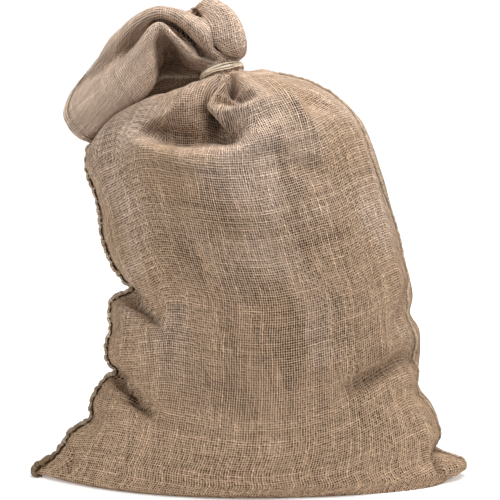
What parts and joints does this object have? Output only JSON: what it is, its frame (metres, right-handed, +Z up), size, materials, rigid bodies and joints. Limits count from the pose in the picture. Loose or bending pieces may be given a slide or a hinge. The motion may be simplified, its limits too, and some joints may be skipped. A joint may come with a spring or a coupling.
{
  "type": "burlap sack",
  "caption": "Filled burlap sack standing upright, gathered and tied at the neck with twine, its open top flopped over to one side.",
  "frame": {"origin": "on the floor, under the middle of the sack", "axes": "+Z up, -Y the sack's front, +X its right side as seen from the front"},
  "size_m": [0.4885, 0.2446, 0.5338],
  "materials": {
    "hessian": "coarse open jute weave, matt",
    "straw_twine": "pale twisted straw twine, matt"
  },
  "bodies": {
    "root": {"sack": "hessian", "tie": "straw_twine"}
  },
  "joints": []
}
